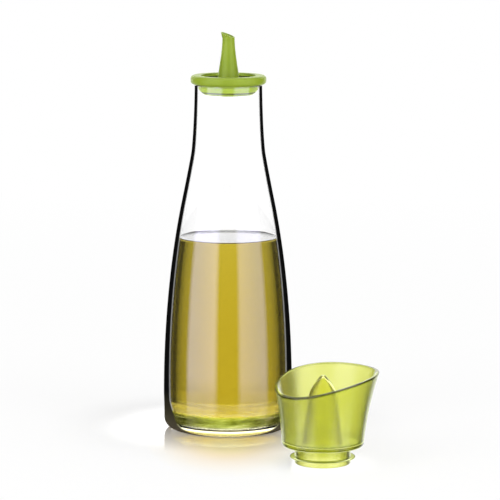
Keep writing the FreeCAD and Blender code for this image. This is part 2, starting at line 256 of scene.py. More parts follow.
# --- Studio light ---
# A white tent all round gives an even light. A bright white sweep stands behind, dark cloth in
# front, and two tall soft boxes left and right of the camera; their reflections are the long
# pale bands on the glass.
TENT_LIGHT = 0.74             # what the tent gives to dull surfaces
SWEEP_SHINE = 2.0             # the white sweep behind, as gloss and glass show it
SWEEP_EDGE = (0.70, 0.80)     # sine of the bearings at which it begins and is at its full strength
CLOTH_SHINE = 0.025           # the dark cloth in front, as gloss shows it
THROUGH_GLASS = 4.5           # what the sweep adds to light that falls through glass on dull things
ROUND_GLASS = 0.5             # and what the tent adds to it from all round
BOX_DISTANCE = 1.5
LAMP_POWER = 8.0
LAMP_SIZE = (0.9, 1.6)
LAMP_HEIGHT = 0.95
LAMP_AIM = Vector((0.02, -0.05, 0.1))
# The cards are the soft boxes' cloth, seen only by gloss: bearings of the near and the far edge
# from straight in front, in degrees, and brightness.
CARDS = (("left", -16.0, -81.0, 6.8), ("right", 16.0, 79.0, 5.3))
CARD_LOW, CARD_HIGH = -0.75, 6.0
CARD_EDGE = 9.0               # degrees over which a card fades at each side
CARD_STEPS = 60
CARD_COLOUR = (0.68, 0.64, 1.0, 1.0)

world = bpy.data.worlds.new("tent")
world.use_nodes = True
bpy.context.scene.world = world
tent = Nodes(world.node_tree)
white = tent.tree.nodes["Background"]
white.inputs["Color"].default_value = (1.0, 1.0, 1.0, 1.0)

path = tent.node("LightPath").outputs
parts = tent.node("SeparateXYZ")
tent.join(tent.node("TexCoord").outputs["Generated"], parts.inputs["Vector"])
across, back = parts.outputs["X"], parts.outputs["Y"]
level = tent.math("SQRT", tent.math("ADD", tent.multiply(across, across), tent.multiply(back, back)))
behind = tent.spread(tent.math("DIVIDE", back, level), 0.0, 1.0, *SWEEP_EDGE, "SMOOTHSTEP")
shine = tent.spread(behind, CLOTH_SHINE, SWEEP_SHINE)
bounced = tent.math("MINIMUM", path["Diffuse Depth"], 1.0)
extra = tent.multiply(bounced, tent.spread(behind, ROUND_GLASS, ROUND_GLASS + THROUGH_GLASS))
through = tent.math("ADD", extra, tent.spread(behind, GLASS_LOSS, SWEEP_SHINE))
strength = TENT_LIGHT
for kind, value in (("Is Camera Ray", 1.0), ("Is Glossy Ray", shine), ("Is Transmission Ray", through)):
    pick = tent.node("Mix")
    for given, name in ((path[kind], "Factor"), (strength, "A"), (value, "B")):
        tent.join(given, pick.inputs[name])
    strength = pick.outputs["Result"]
tent.join(strength, white.inputs["Strength"])

for side, near_turn, far_turn, brightness in CARDS:
    middle = math.radians(-90 + (near_turn + far_turn) / 2)
    lamp = bpy.data.objects.new(f"soft_box_{side}", bpy.data.lights.new(f"soft_box_{side}", "AREA"))
    lamp.data.shape = "RECTANGLE"
    lamp.data.size, lamp.data.size_y = LAMP_SIZE
    lamp.data.energy = LAMP_POWER
    lamp.location = (BOX_DISTANCE * math.cos(middle), BOX_DISTANCE * math.sin(middle), LAMP_HEIGHT)
    lamp.rotation_euler = (LAMP_AIM - lamp.location).to_track_quat("-Z", "Y").to_euler()
    bpy.context.scene.collection.objects.link(lamp)

    glow = Finish(f"soft_box_cloth_{side}")
    glow.tree.nodes.remove(glow.shader)
    emission = glow.node("Emission", {"Color": CARD_COLOUR})
    glow.join(glow.mark("glow"), emission.inputs["Strength"])
    glow.join(emission.outputs["Emission"], glow.output.inputs["Surface"])

    cloth = bmesh.new()
    fade = cloth.verts.layers.float.new("glow")
    start = math.radians(-90 + near_turn)
    low = cloth.verts.new((BOX_DISTANCE * math.cos(start), BOX_DISTANCE * math.sin(start), CARD_LOW))
    high = cloth.verts.new((low.co.x, low.co.y, CARD_HIGH))
    edge = cloth.edges.new((low, high))
    bmesh.ops.spin(cloth, geom=[low, high, edge], cent=(0, 0, 0), axis=(0, 0, 1),
                   angle=math.radians(far_turn - near_turn), steps=CARD_STEPS)
    for vert in cloth.verts:
        bearing = abs(math.degrees(math.atan2(vert.co.x, -vert.co.y)))
        inner, outer = abs(near_turn), abs(far_turn)
        vert[fade] = brightness * min(1.0, (bearing - inner) / CARD_EDGE, (outer - bearing) / CARD_EDGE)
    card = make_object(f"soft_box_card_{side}", cloth, glow.material)
    for thing in (lamp, card):
        thing.visible_camera = False
        thing.visible_transmission = False
        thing.visible_volume_scatter = False
    lamp.visible_glossy = False
    card.visible_diffuse = False
    card.visible_shadow = False


# --- Bottle ---
# Clear soda-lime glass, blown in a turned mould: thick flat base, round heel, straight sloping
# shoulder and a neck that narrows a little towards its fire-polished mouth.
TURNS = 192                   # steps round a turned piece
HEEL_ROUND = 6.0
HEEL_TOP = (38.0, HEEL_ROUND)  # points are (radius, height) in millimetres
BELLY = (38.3, 21.0)
SHOULDER = (27.4, 136.5)
NECK_ROOT = (21.75, 166.0)
MOUTH = (19.9, 205.6)
LIP_ROUND = 0.5
LIP_GAP = 0.1                 # the side's last point stays this far below the lip's round
# Inward run for each unit of rise, and the reach of each stretch's curve handles as shares of
# its rise.
SHOULDER_SLOPE, NECK_SLOPE = 0.205, 0.109
HEEL_HANDLES, BELLY_HANDLES = (0.60, 0.13), (0.234, 0.384)
SHOULDER_HANDLES, NECK_HANDLES = (0.172, 0.119), (0.313, 0.156)
BELLY_WALL = 2.4
SHOULDER_WALL = 2.2
NECK_WALL = 1.9
CAVITY_FLOOR = 9.5
CAVITY_CORNER = 9.0
# The mark "miss" is the miss angle on the outside. Other faces have these numbers instead: the
# lip, the cavity's side, and the base's two faces with the cavity's low corner.
ON_LIP, ON_CAVITY, ON_BASE = 2.0, 3.0, 4.0
WALL_SPREAD = 1.5             # how much wider than it is the wall looks at the belly
# The dark edges and the foot's dark ends below are painted shade.
FOOT_CLEAR = 0.80             # share of the foot's half width between its two dark ends
FOOT_CURVE = 1.2              # how late the side's dark edge widens to the foot's dark ends
RIM_FADE = (-0.03, 0.05)      # facing past the miss angle at which the dark edge starts and is full
# Painted tints by height, standing in for the oil's green and gold seen through the foot: a dark line where
# it meets the table, a pale heel under a green band.
FOOT_PAINTED_TINTS = ((0.35, (0.30, 0.25, 0.03)), (0.6, (0.66, 0.50, 0.05)), (2.9, (0.62, 0.49, 0.07)),
              (3.5, (0.95, 0.90, 0.36)), (4.4, (0.95, 0.95, 0.48)), (5.0, (0.70, 0.72, 0.33)),
              (6.4, (0.50, 0.52, 0.15)), (7.0, (0.60, 0.67, 0.12)), (11.4, (0.66, 0.74, 0.12)),
              (12.6, (1.0, 1.0, 0.10)), (15.5, (1.0, 0.98, 0.22)))
FOOT_TOP = 16.0
FOOT_FADE = (12.8, 14.2)
WAVER = 1.6                   # how far the tints' heights wander
# Painted shade of the dark edges, by height: dark olive at the foot, black higher up.
PAINTED_EDGE_SHADES = ((0.0, (0.08, 0.07, 0.04)), (0.45, (0.028, 0.025, 0.015)), (0.8, (0.004, 0.004, 0.004)))
PAINTED_EDGE_TOP = 30.0
# The painted green band is mottled and cloudy, and has painted shade towards its two ends.
BAND_START, BAND_END = (5.7, 6.4), (12.0, 13.2)
BAND_PAINTED_MOTTLE = ((0.34, (0.30, 0.34, 0.10)), (0.50, (0.66, 0.72, 0.45)), (0.60, (0.95, 1.0, 0.9)),
               (0.68, (1.35, 1.28, 2.2)))
BAND_PAINTED_END_SHADES = ((0.03, WHITE), (0.14, (0.78, 0.72, 0.8)), (0.30, (0.40, 0.34, 0.4)))
BAND_CLOUD = (0.75, 0.3, 0.1, 0.45)  # cloudiness in the middle and at the ends, and their facings
WET_TOP = (115.0, 115.2)      # the oil's edge on the inside
DULL_FADE = (14.0, 36.0)      # heights over which the outside takes up its full reflection
DULL_FOOT, DULL_SIDE = 0.85, 0.72
GLASS_CLOUDS = (85.0, 5.0, 0.65, (1.0, 1.0, 5.0))  # lumps a metre, detail, roughness, squashing
STIPPLE = (260.0, 3.0, 0.6)
STIPPLE_DEPTH = 0.5
FLAT_MARGIN = 0.5             # the flat foot's last point but one stays this far inside its edge
MARK_SPAN = 0.4               # marks less than this apart are the same


def bend(low, after_low, before_high, high, steps):
    """Points along a cubic curve in the half section, without its last point."""
    poles = [Vector((radius, 0.0, z)) for radius, z in (low, after_low, before_high, high)]
    return [(p.x, p.z) for p in interpolate_bezier(*poles, steps + 1)][:-1]


def stretch(low, high, low_slope, high_slope, handles, steps):
    """Smooth side between two heights; a slope is the inward run for each unit of rise."""
    rise = high[1] - low[1]
    first, last = handles[0] * rise, handles[1] * rise
    return bend(low, (low[0] - low_slope * first, low[1] + first),
                (high[0] + high_slope * last, high[1] - last), high, steps)


def corner(centre, radius, start, end, steps):
    """Points of an arc about centre, angles in degrees from +X towards +Z, without its last point."""
    angles = [math.radians(start + (end - start) * i / steps) for i in range(steps)]
    return [(centre[0] + radius * math.cos(a), centre[1] + radius * math.sin(a)) for a in angles]


def bottle_side(belly_wall=0.0, shoulder_wall=0.0, neck_wall=0.0):
    """The bottle's side from the belly up, moved in by the wall at three places."""
    belly = (BELLY[0] - belly_wall, BELLY[1])
    shoulder = (SHOULDER[0] - shoulder_wall, SHOULDER[1])
    neck_root = (NECK_ROOT[0] - neck_wall, NECK_ROOT[1])
    mouth = (MOUTH[0] - neck_wall, MOUTH[1])
    return (stretch(belly, shoulder, 0.0, SHOULDER_SLOPE, BELLY_HANDLES, 40)
            + stretch(shoulder, neck_root, SHOULDER_SLOPE, NECK_SLOPE, SHOULDER_HANDLES, 12)
            + stretch(neck_root, mouth, NECK_SLOPE, 0.0, NECK_HANDLES, 16))


def marked(points, value):
    """Gives each point of an outline the number that the mesh keeps there."""
    return [(*point, value) for point in points]


def turn(outline, closed=False, mark=None):
    """Spins a half section, given in millimetres, into a closed mesh. mark names a number kept
    at each point, and each outline point then carries its value third."""
    bm = bmesh.new()
    layer = bm.verts.layers.float.new(mark) if mark else None
    points = []
    for point in outline:
        made = bm.verts.new((point[0] * MM, 0.0, point[1] * MM))
        if mark:
            made[layer] = point[2]
        points.append(made)
    pairs = list(zip(points, points[1:])) + ([(points[-1], points[0])] if closed else [])
    lines = [bm.edges.new(pair) for pair in pairs]
    bmesh.ops.spin(bm, geom=points + lines, cent=(0, 0, 0), axis=(0, 0, 1), angle=2 * math.pi,
                   steps=TURNS, use_merge=True)
    bmesh.ops.remove_doubles(bm, verts=bm.verts, dist=0.002 * MM)
    bmesh.ops.recalc_face_normals(bm, faces=bm.faces)
    return bm


def smooth(piece, angle=40.0):
    """Smooth shading, but edges that turn by more than this angle stay crisp."""
    piece.data.shade_smooth()
    piece.data.set_sharp_from_angle(angle=math.radians(angle))


def miss_angle(radius, z):
    """Facing value past which a sight line into the wall misses the inside altogether."""
    share = min(max((z - BELLY[1]) / (MOUTH[1] - BELLY[1]), 0.0), 1.0)
    wall = BELLY_WALL + (NECK_WALL - BELLY_WALL) * share
    clear = 1.0 - wall * (WALL_SPREAD + (1.0 - WALL_SPREAD) * share) / radius
    corner_top = CAVITY_FLOOR + CAVITY_CORNER
    foot_share = min(max((corner_top - z) / (corner_top - HEEL_ROUND), 0.0), 1.0)
    clear -= (clear - FOOT_CLEAR) * foot_share ** FOOT_CURVE
    upright = math.sqrt(1.0 - (1.0 - min(z / HEEL_ROUND, 1.0)) ** 2)
    return 1.0 - upright * math.sqrt(1.0 - clear ** 2)


foot_edge = HEEL_TOP[0] - HEEL_ROUND
lip_z = MOUTH[1] - LIP_ROUND
cavity_side = BELLY[0] - BELLY_WALL
floor_edge = cavity_side - CAVITY_CORNER
outside = corner((foot_edge, HEEL_ROUND), HEEL_ROUND, -90, 0, 16)
outside += stretch(HEEL_TOP, BELLY, 0.0, 0.0, HEEL_HANDLES, 14) + bottle_side()
outside = [p for p in outside if p[1] < lip_z - LIP_GAP] + [(MOUTH[0], lip_z - LIP_GAP / 2)]
lip = corner((MOUTH[0] - LIP_ROUND, lip_z), LIP_ROUND, 0, 90, 5)
lip += corner((MOUTH[0] - NECK_WALL + LIP_ROUND, lip_z), LIP_ROUND, 90, 180, 5)
cavity = [p for p in bottle_side(BELLY_WALL, SHOULDER_WALL, NECK_WALL) if p[1] < lip_z - LIP_GAP]
cavity_low = [(cavity_side, BELLY[1])]
cavity_low += corner((floor_edge, CAVITY_FLOOR + CAVITY_CORNER), CAVITY_CORNER, 0, -90, 16)
cavity_low += [(floor_edge, CAVITY_FLOOR)]

half_section = marked([(0.0, 0.0), (foot_edge - FLAT_MARGIN, 0.0)], ON_BASE)
half_section += [(*p, miss_angle(*p)) for p in outside] + marked(lip, ON_LIP)
half_section += marked(reversed(cavity[1:]), ON_CAVITY)
half_section += [(*p, ON_CAVITY if p[1] > BELLY[1] - 1.0 else ON_BASE) for p in cavity_low]
half_section += [(0.0, CAVITY_FLOOR, ON_BASE)]

glass = Finish("clear_glass")
glass.set(Transmission_Weight=1.0, Roughness=0.0, IOR=1.5, Specular_IOR_Level=0.0)
mark, turned_away = glass.mark("miss"), glass.facing()
parts = glass.node("SeparateXYZ")
glass.join(glass.node("TexCoord").outputs["Object"], parts.inputs["Vector"])
height = parts.outputs["Z"]


def by_height(low, high, heights):
    """Goes from low to high between two heights on the glass."""
    return glass.spread(height, low, high, heights[0] * MM, heights[1] * MM)


# Painted dark edges: past the miss angle the base colour turns dark and the glass lets no light through,
# standing in for light that enters there and stays in the wall.
entering = glass.spread(glass.node("NewGeometry").outputs["Backfacing"], 1.0, 0.0)
missed = glass.math("SUBTRACT", turned_away, mark)
painted_rim_shade = glass.multiply(entering, glass.spread(missed, 0.0, 1.0, *RIM_FADE, "SMOOTHSTEP"))
clear_share = glass.spread(painted_rim_shade, 1.0, 0.0)

outer = glass.multiply(entering, glass.spread(mark, 1.0, 0.0, 1.1, 1.3))
clouds = glass.noise(*GLASS_CLOUDS)
waver = glass.math("MULTIPLY_ADD", clouds, WAVER * MM, height)
# The foot's painted tints, by a wandering height.
foot = glass.ramp(glass.spread(waver, 0.0, 1.0, WAVER / 2 * MM, (FOOT_TOP + WAVER / 2) * MM),
                  *[(z / FOOT_TOP, colour) for z, colour in FOOT_PAINTED_TINTS])
band = glass.multiply(by_height(0.0, 1.0, BAND_START), by_height(1.0, 0.0, BAND_END))
cloudy = glass.multiply(glass.multiply(band, outer), glass.spread(turned_away, *BAND_CLOUD))
glass.feed(glass.multiply(clear_share, glass.spread(cloudy, 1.0, 0.0)), "Transmission Weight")
# Painted mottle, and painted shade towards the band's ends.
for shade in (glass.ramp(clouds, *BAND_PAINTED_MOTTLE), glass.ramp(turned_away, *BAND_PAINTED_END_SHADES)):
    foot = glass.mix(band, foot, shade, "MULTIPLY")
low = glass.multiply(by_height(1.0, 0.0, FOOT_FADE), outer)
painted_foot_tint = glass.mix(low, WHITE, foot)
painted_edge_shade = glass.ramp(by_height(0.0, 1.0, (0.0, PAINTED_EDGE_TOP)), *PAINTED_EDGE_SHADES)
glass.feed(glass.mix(clear_share, painted_edge_shade, painted_foot_tint), "Base Color")

# Oil against the inside leaves no reflection there, and the foot reflects no light box.
wet = glass.multiply(glass.math("COMPARE", mark, ON_CAVITY, MARK_SPAN), by_height(1.0, 0.0, WET_TOP))
fading = glass.larger(glass.spread(low, 0.0, DULL_FOOT),
                      glass.multiply(outer, by_height(DULL_SIDE, 0.0, DULL_FADE)))
glass.feed(glass.ramp(glass.larger(wet, fading), (0.0, WHITE), (1.0, BLACK)), "Specular Tint")
stipple = glass.multiply(glass.noise(*STIPPLE), glass.spread(mark, 0.0, 1.0, 3.2, 3.9))
glass.bump(stipple, STIPPLE_DEPTH * MM)

bottle = make_object("bottle", turn(half_section, mark="miss"), glass.material)
smooth(bottle)
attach(bottle, "root")
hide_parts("bottle")


# --- Oil ---
# Golden green olive oil. It wets the wall, reaches just into it, and climbs it a little at
# its level.
OIL_LEVEL = 114.0
OIL_GRIP = 0.12               # how far the oil's mesh reaches into the glass
MENISCUS_RISE = 1.1
MENISCUS_REACH = 1.3          # the climb falls to a third over this run
MENISCUS_WIDTH = 8.0
MENISCUS_STEPS = 24
MENISCUS_GAP = 0.3            # the side's last point stays this far below the climb's top
WALL_LEAN = 0.14              # inward run of the wall for each unit of rise at the oil's level
# The mark "side" tells the oil's faces apart: underside, round corner, side and top.
OIL_UNDER, OIL_CORNER, OIL_SIDE, OIL_TOP = 0.0, 0.5, 1.0, 2.0
# Only the underside and the top shine. Shares of OIL_TOP.
OIL_SHINE = ((0.1, WHITE), (0.2, BLACK), (0.6, BLACK), (0.9, WHITE))
# Painted shade on the side: how much light it lets through, by how far it turns away, in shares of
# SIDE_REACH.
SIDE_REACH = 0.30
SIDE_PAINTED_SHADES = ((0.03, 1.0), (0.138, 0.78), (0.218, 0.68), (0.319, 0.59), (0.365, 0.57), (0.415, 0.52),
               (0.47, 0.42), (0.499, 0.348), (0.529, 0.278), (0.56, 0.206), (0.592, 0.125),
               (0.625, 0.022), (0.66, 0.011), (0.696, 0.021), (0.733, 0.054), (0.752, 0.039),
               (0.772, 0.013), (0.792, 0.0))
OIL_COLOUR = (0.84, 0.768, 0.083, 1.0)
OIL_DENSITY = 60.0

oil_top = OIL_LEVEL + MENISCUS_RISE
last = [p for p in cavity if p[1] < oil_top][-1]
wall_radius = last[0] - WALL_LEAN * (oil_top - last[1])
low_points = [(r + (OIL_GRIP if z > CAVITY_FLOOR + 0.001 else 0.0), z - OIL_GRIP) for r, z in cavity_low]
side_points = [(r + OIL_GRIP, z) for r, z in cavity if z < oil_top - MENISCUS_GAP]
surface = [(wall_radius + OIL_GRIP, oil_top)]
for i in range(1, MENISCUS_STEPS + 1):
    run = MENISCUS_WIDTH * (i / MENISCUS_STEPS) ** 2
    surface.append((wall_radius - run, OIL_LEVEL + MENISCUS_RISE * math.exp(-run / MENISCUS_REACH)))
surface += [(0.0, OIL_LEVEL)]
oil_section = [(0.0, CAVITY_FLOOR - OIL_GRIP, OIL_UNDER)]
oil_section += [(*p, OIL_SIDE if p[1] > CAVITY_FLOOR + CAVITY_CORNER - 1.0 else OIL_CORNER)
                for p in reversed(low_points)]
oil_section += marked(side_points[1:], OIL_SIDE) + marked(surface, OIL_TOP)

olive = Finish("olive_oil")
olive.set(Transmission_Weight=1.0, Roughness=0.0, IOR=1.47)
mark, turned_away = olive.mark("side"), olive.facing()
olive.feed(olive.ramp(olive.spread(mark, 0.0, 1.0, OIL_UNDER, OIL_TOP), *OIL_SHINE), "Specular Tint")
on_side = olive.multiply(olive.spread(mark, 0.0, 1.0, OIL_CORNER, OIL_SIDE),
                         olive.spread(mark, 1.0, 0.0, 1.2, 1.8))
painted_side_shade = olive.multiply(olive.spread(turned_away, 0.0, 1.0, 0.0, SIDE_REACH), on_side)
olive.feed(olive.ramp(painted_side_shade, *[(at, (grey,) * 3) for at, grey in SIDE_PAINTED_SHADES]), "Base Color")
absorb = olive.node("VolumeAbsorption", {"Color": OIL_COLOUR, "Density": OIL_DENSITY})
olive.join(absorb.outputs["Volume"], olive.output.inputs["Volume"])

oil = make_object("oil", turn(oil_section, mark="side"), olive.material)
smooth(oil)
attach(oil, "root")
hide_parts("oil")


# --- Pourer ---
# Lime green polyethylene, moulded in one piece: a rim that sits on the glass, a plug pressed
# into the neck, a dish, and a tapering spout with a slanted lip.
PLUG_GAP = 0.05               # keeps the plug's face off the glass
PLUG_RADIUS = MOUTH[0] - NECK_WALL - PLUG_GAP
PLUG_END = 199.4
PLUG_LAND_END = 204.0         # above it the plug touches the glass, below it rounds off
NOSE_INSET = 5.0
NOSE_REACH, LAND_REACH = 2.2, 1.2  # curve handles of that rounding, at its two ends
RIM_TOP = 210.9
RIM_RADIUS = 22.35
RIM_ROUND = 2.0
DISH_RADIUS = 16.2
DISH_FLOOR = 200.6
DISH_EDGE = 0.8
SPOUT_BASE = 7.3
SPOUT_FILLET = 1.2
SPOUT_NECK = (3.62, 232.4)
SPOUT_WALL = 0.9
# Curve handles of the spout's side: their height, and how far they lean at the foot and the neck.
SPOUT_HANDLE, FOOT_LEAN, NECK_LEAN = 0.35, 0.19, 0.08
LIP_RADIUS = 4.35
LIP_WALL = 0.65
LIP_TOP = 238.0
LIP_TURN = -15.0              # turns the spout's mouth, in degrees
LIP_STEPS = 6
MOUTH_TIP = (-5.08, 236.4)
MOUTH_HEEL = (3.62, 233.2)
# The mark "zone" sets the tint: the rim and spout in their own tone, the plug seen through glass lightened
# with painted light, the dish's wall darkened with painted shade.
PLUG_ZONE, DISH_ZONE = 1.0, 2.0
ZONE_TONES_AND_PAINTED_LIGHT = ((0.0, (0.5, 0.5, 0.5)), (0.5, (1.28, 1.26, 1.5)), (1.0, (0.21, 0.20, 0.20)))
LIME_TINTS = ((0.3, (0.51, 0.71, 0.028)), (0.7, (0.57, 0.77, 0.042)))
LIME_CLOUDS = (140.0, 3.0)
LIME_ROUGHNESS = (0.36, 0.50)
ROUGHNESS_CLOUDS = 900.0
GRAIN = 1500.0
GRAIN_DEPTH, GRAIN_STRENGTH = 0.02, 0.4


def spout_side(inset):
    """Half section of the spout from the dish to its neck, moved in by inset."""
    low, high = (SPOUT_BASE - inset, DISH_FLOOR), (SPOUT_NECK[0] - inset, SPOUT_NECK[1])
    handle, taper = SPOUT_HANDLE * (high[1] - low[1]), low[0] - high[0]
    return bend(low, (low[0] - FOOT_LEAN * taper, low[1] + handle),
                (high[0] + NECK_LEAN * taper, high[1] - handle), high, 28)


def lip_side(low_radius, high_radius):
    """Straight run from the spout's neck to the top of its lip."""
    shares = [i / LIP_STEPS for i in range(LIP_STEPS + 1)]
    return [(low_radius + (high_radius - low_radius) * share,
             SPOUT_NECK[1] + (LIP_TOP - SPOUT_NECK[1]) * share) for share in shares]


bore = SPOUT_NECK[0] - SPOUT_WALL
shell = corner((SPOUT_BASE + SPOUT_FILLET, DISH_FLOOR + SPOUT_FILLET), SPOUT_FILLET, -90, -180, 6)
shell += [p for p in spout_side(0.0) if p[1] > DISH_FLOOR + SPOUT_FILLET]
shell += lip_side(SPOUT_NECK[0], LIP_RADIUS) + list(reversed(lip_side(bore, LIP_RADIUS - LIP_WALL)))
shell += list(reversed(spout_side(SPOUT_WALL))) + [(SPOUT_BASE - SPOUT_WALL, PLUG_END)]
nose = PLUG_RADIUS - NOSE_INSET
shell += bend((nose, PLUG_END), (nose + NOSE_REACH, PLUG_END),
              (PLUG_RADIUS, PLUG_LAND_END - LAND_REACH), (PLUG_RADIUS, PLUG_LAND_END), 14)
shell += [(PLUG_RADIUS, PLUG_LAND_END), (PLUG_RADIUS, MOUTH[1])]
shell += corner((RIM_RADIUS - RIM_ROUND, MOUTH[1] + RIM_ROUND), RIM_ROUND, -90, 0, 8)
shell += corner((RIM_RADIUS - RIM_ROUND, RIM_TOP - RIM_ROUND), RIM_ROUND, 0, 90, 8)
shell += [(RIM_RADIUS - RIM_ROUND, RIM_TOP)]
shell += corner((DISH_RADIUS + DISH_EDGE, RIM_TOP - DISH_EDGE), DISH_EDGE, 90, 180, 5)
shell += [(DISH_RADIUS, RIM_TOP - DISH_EDGE), (DISH_RADIUS, RIM_TOP - 2 * DISH_EDGE)]
nook = DISH_RADIUS - NOSE_INSET
shell += bend((DISH_RADIUS, PLUG_LAND_END), (DISH_RADIUS, PLUG_LAND_END - LAND_REACH),
              (nook + NOSE_REACH, DISH_FLOOR), (nook, DISH_FLOOR), 12)
shell += [(nook, DISH_FLOOR)]

moulding = turn(shell, closed=True)
zone = moulding.verts.layers.float.new("zone")
# Small margins keep the rounded edges between two zones out of both.
for vert in moulding.verts:
    height, out = vert.co.z / MM, math.hypot(vert.co.x, vert.co.y) / MM
    if height < MOUTH[1] - 0.1 and (out > DISH_RADIUS + 0.4 or height < DISH_FLOOR - 0.3):
        vert[zone] = PLUG_ZONE
    elif DISH_FLOOR - 0.1 < height < RIM_TOP - 1.5 and SPOUT_BASE + 1.0 < out < DISH_RADIUS + 0.3:
        vert[zone] = DISH_ZONE
# The lip leans to one side: each ring of it is moved over by as much as it has flared.
for vert in moulding.verts:
    share = (vert.co.z / MM - SPOUT_NECK[1]) / (LIP_TOP - SPOUT_NECK[1])
    if share > 0:
        inner = math.hypot(vert.co.x, vert.co.y) / MM < SPOUT_NECK[0] - SPOUT_WALL / 2 + 0.4 * share
        flare = LIP_RADIUS - LIP_WALL - bore if inner else LIP_RADIUS - SPOUT_NECK[0]
        vert.co.x -= share * flare * MM
along = Vector((MOUTH_HEEL[0] - MOUTH_TIP[0], 0.0, MOUTH_HEEL[1] - MOUTH_TIP[1])).normalized()
cut = bmesh.ops.bisect_plane(moulding, geom=moulding.verts[:] + moulding.edges[:] + moulding.faces[:],
                             plane_co=Vector((MOUTH_TIP[0], 0.0, MOUTH_TIP[1])) * MM,
                             plane_no=Vector((-along.z, 0.0, along.x)), clear_outer=True, dist=1e-7)
ends = [item for item in cut["geom_cut"] if isinstance(item, bmesh.types.BMEdge)]
bmesh.ops.bridge_loops(moulding, edges=ends)
bmesh.ops.recalc_face_normals(moulding, faces=moulding.faces)
bmesh.ops.rotate(moulding, verts=moulding.verts, cent=(0, 0, 0),
                 matrix=Matrix.Rotation(math.radians(LIP_TURN), 3, "Z"))

lime = Finish("lime_polyethylene")
lime.set(IOR=1.5, Specular_IOR_Level=0.25, Subsurface_Weight=0.10,
         Subsurface_Scale=0.002, Subsurface_Radius=(0.9, 1.0, 0.25))
zone_tone_and_painted_light = lime.ramp(lime.spread(lime.mark("zone"), 0.0, 1.0, 0.0, DISH_ZONE), *ZONE_TONES_AND_PAINTED_LIGHT)
clouds = lime.ramp(lime.noise(*LIME_CLOUDS), *LIME_TINTS)
lime.feed(lime.mix(1.0, zone_tone_and_painted_light, clouds, "MULTIPLY"), "Base Color")
lime.feed(lime.spread(lime.noise(ROUGHNESS_CLOUDS), *LIME_ROUGHNESS), "Roughness")
lime.bump(lime.noise(GRAIN), GRAIN_DEPTH * MM, GRAIN_STRENGTH)

pourer = make_object("pourer", moulding, lime.material)
smooth(pourer)
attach(pourer, "root")
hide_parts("pourer")


# --- Cap ---
# Translucent frosted lime polypropylene, one moulding: a neck that fits the pourer's dish, a
# flared cup with a slanted rim, and a hollow cone that goes over the spout.
CAP_PLACE = Vector((54.4, -100.5, 0.0)) * MM
CAP_NECK = 15.85
CAP_NECK_WALL = 2.0
CAP_NECK_EDGE = 0.7
CAP_NECK_TOP_EDGE = 0.4
CAP_BORE_EDGE = 0.3
CAP_UNDERSIDE = 10.1
CAP_BODY = 23.3
CAP_BODY_ROUND = 1.8
CAP_WALL = 2.0
CAP_FLOOR = 12.1
CAP_INNER_ROUND = 1.6
FLARE = (24.8, 31.2, 54.0)    # radius half way up, and radius and height at the top
LEAN = 0.0325                 # the cup leans to its high side by this run for each unit of rise
HIGH_SIDE = 36.8              # bearing of the rim's high side, in degrees from +X towards +Y
RIM_HIGH = 52.4
RIM_REACH = 29.4              # how far out that highest point is
RIM_SWEEP = 138.0             # radius of the curve along which the rim falls to its low side
RIM_EDGE = 0.4
RIM_ROUNDS = 12
CONE_FOOT = (11.5, CAP_FLOOR)
CONE_WAIST = (8.3, 37.0)
CONE_TIP = (1.2, 50.2)
CONE_WALL = 1.8
CONE_HOLLOW_TIP = 0.6
CONE_HANDLES = (0.42, 0.45, 0.29)  # up from the waist, out from the tip and down from the tip
# The mark "face" tells the cup's outer and inner wall from the rest. The mark "edge" sets painted light and
# shade.
OUTER_WALL, INNER_WALL = 1.0, 2.0
CONE_EDGE, PLAIN_EDGE, FOOT_WALL_EDGE, FOOT_ROUND_EDGE, RIM_LINE_EDGE = 0.0, 0.1, 0.45, 0.55, 1.0
FOOT_WALL_RISE = 2.2
# Painted light lightens the cone; painted shade darkens the foot's wall and draws a dark line along the
# rim's outer edge.
EDGE_MARK_PAINTED_LIGHT_AND_SHADE = ((CONE_EDGE, (1.25, 1.20, 1.10)), (PLAIN_EDGE, WHITE),
                   (FOOT_WALL_EDGE, (0.55, 0.60, 0.30)), (RIM_LINE_EDGE, (0.05, 0.05, 0.0)))
EDGE_MARK_SHINE = ((CONE_EDGE, (0.26, 0.28, 0.14)), (PLAIN_EDGE, (0.60, 0.60, 0.50)))
# The lime's own colour, with painted shade that darkens it as the wall turns away.
WALL_COLOUR_AND_PAINTED_SHADE = ((0.50, (0.85, 0.88, 0.33)), (0.76, (0.44, 0.54, 0.05)), (0.93, (0.08, 0.12, 0.0)))
# What the plastic takes from light on its way through.
CAP_COLOUR = (0.948, 0.95, 0.70, 1.0)
CAP_DENSITY = 650.0


def cone_side(wall, tip_radius):
    """Half section of the cone from foot to tip, moved in by wall, with its slope at the foot."""
    base, waist = (CONE_FOOT[0] - wall, CONE_FOOT[1]), (CONE_WAIST[0] - wall, CONE_WAIST[1])
    tip = (tip_radius, CONE_TIP[1] - wall)
    slope = (base[0] - waist[0]) / (waist[1] - base[1])
    rise, out, down = tip[1] - waist[1], waist[0] - tip[0], waist[1] - base[1]
    straight = [(base[0] - slope * down * i / 10, base[1] + down * i / 10) for i in range(10)]
    top = bend(waist, (waist[0] - CONE_HANDLES[0] * rise * slope, waist[1] + CONE_HANDLES[0] * rise),
               (tip[0] + CONE_HANDLES[1] * out, tip[1] - CONE_HANDLES[2] * rise), tip, 16)
    return straight + top + [tip], slope


def cup_radius(share, inset):
    """The flared wall's radius at a share of its full height."""
    return (1 - share) ** 2 * CAP_BODY + 2 * share * (1 - share) * FLARE[0] + share ** 2 * FLARE[1] - inset


def cup_side(inset, low_z, steps=24):
    """Half section of the flared side up to its full height."""
    low, high = (CAP_BODY - inset, low_z), (FLARE[1] - inset, FLARE[2])
    middle = (FLARE[0] - inset, (low_z + FLARE[2]) / 2)
    after_low = [low[i] + (middle[i] - low[i]) * 2 / 3 for i in (0, 1)]
    before_high = [high[i] + (middle[i] - high[i]) * 2 / 3 for i in (0, 1)]
    return bend(low, after_low, before_high, high, steps) + [high]


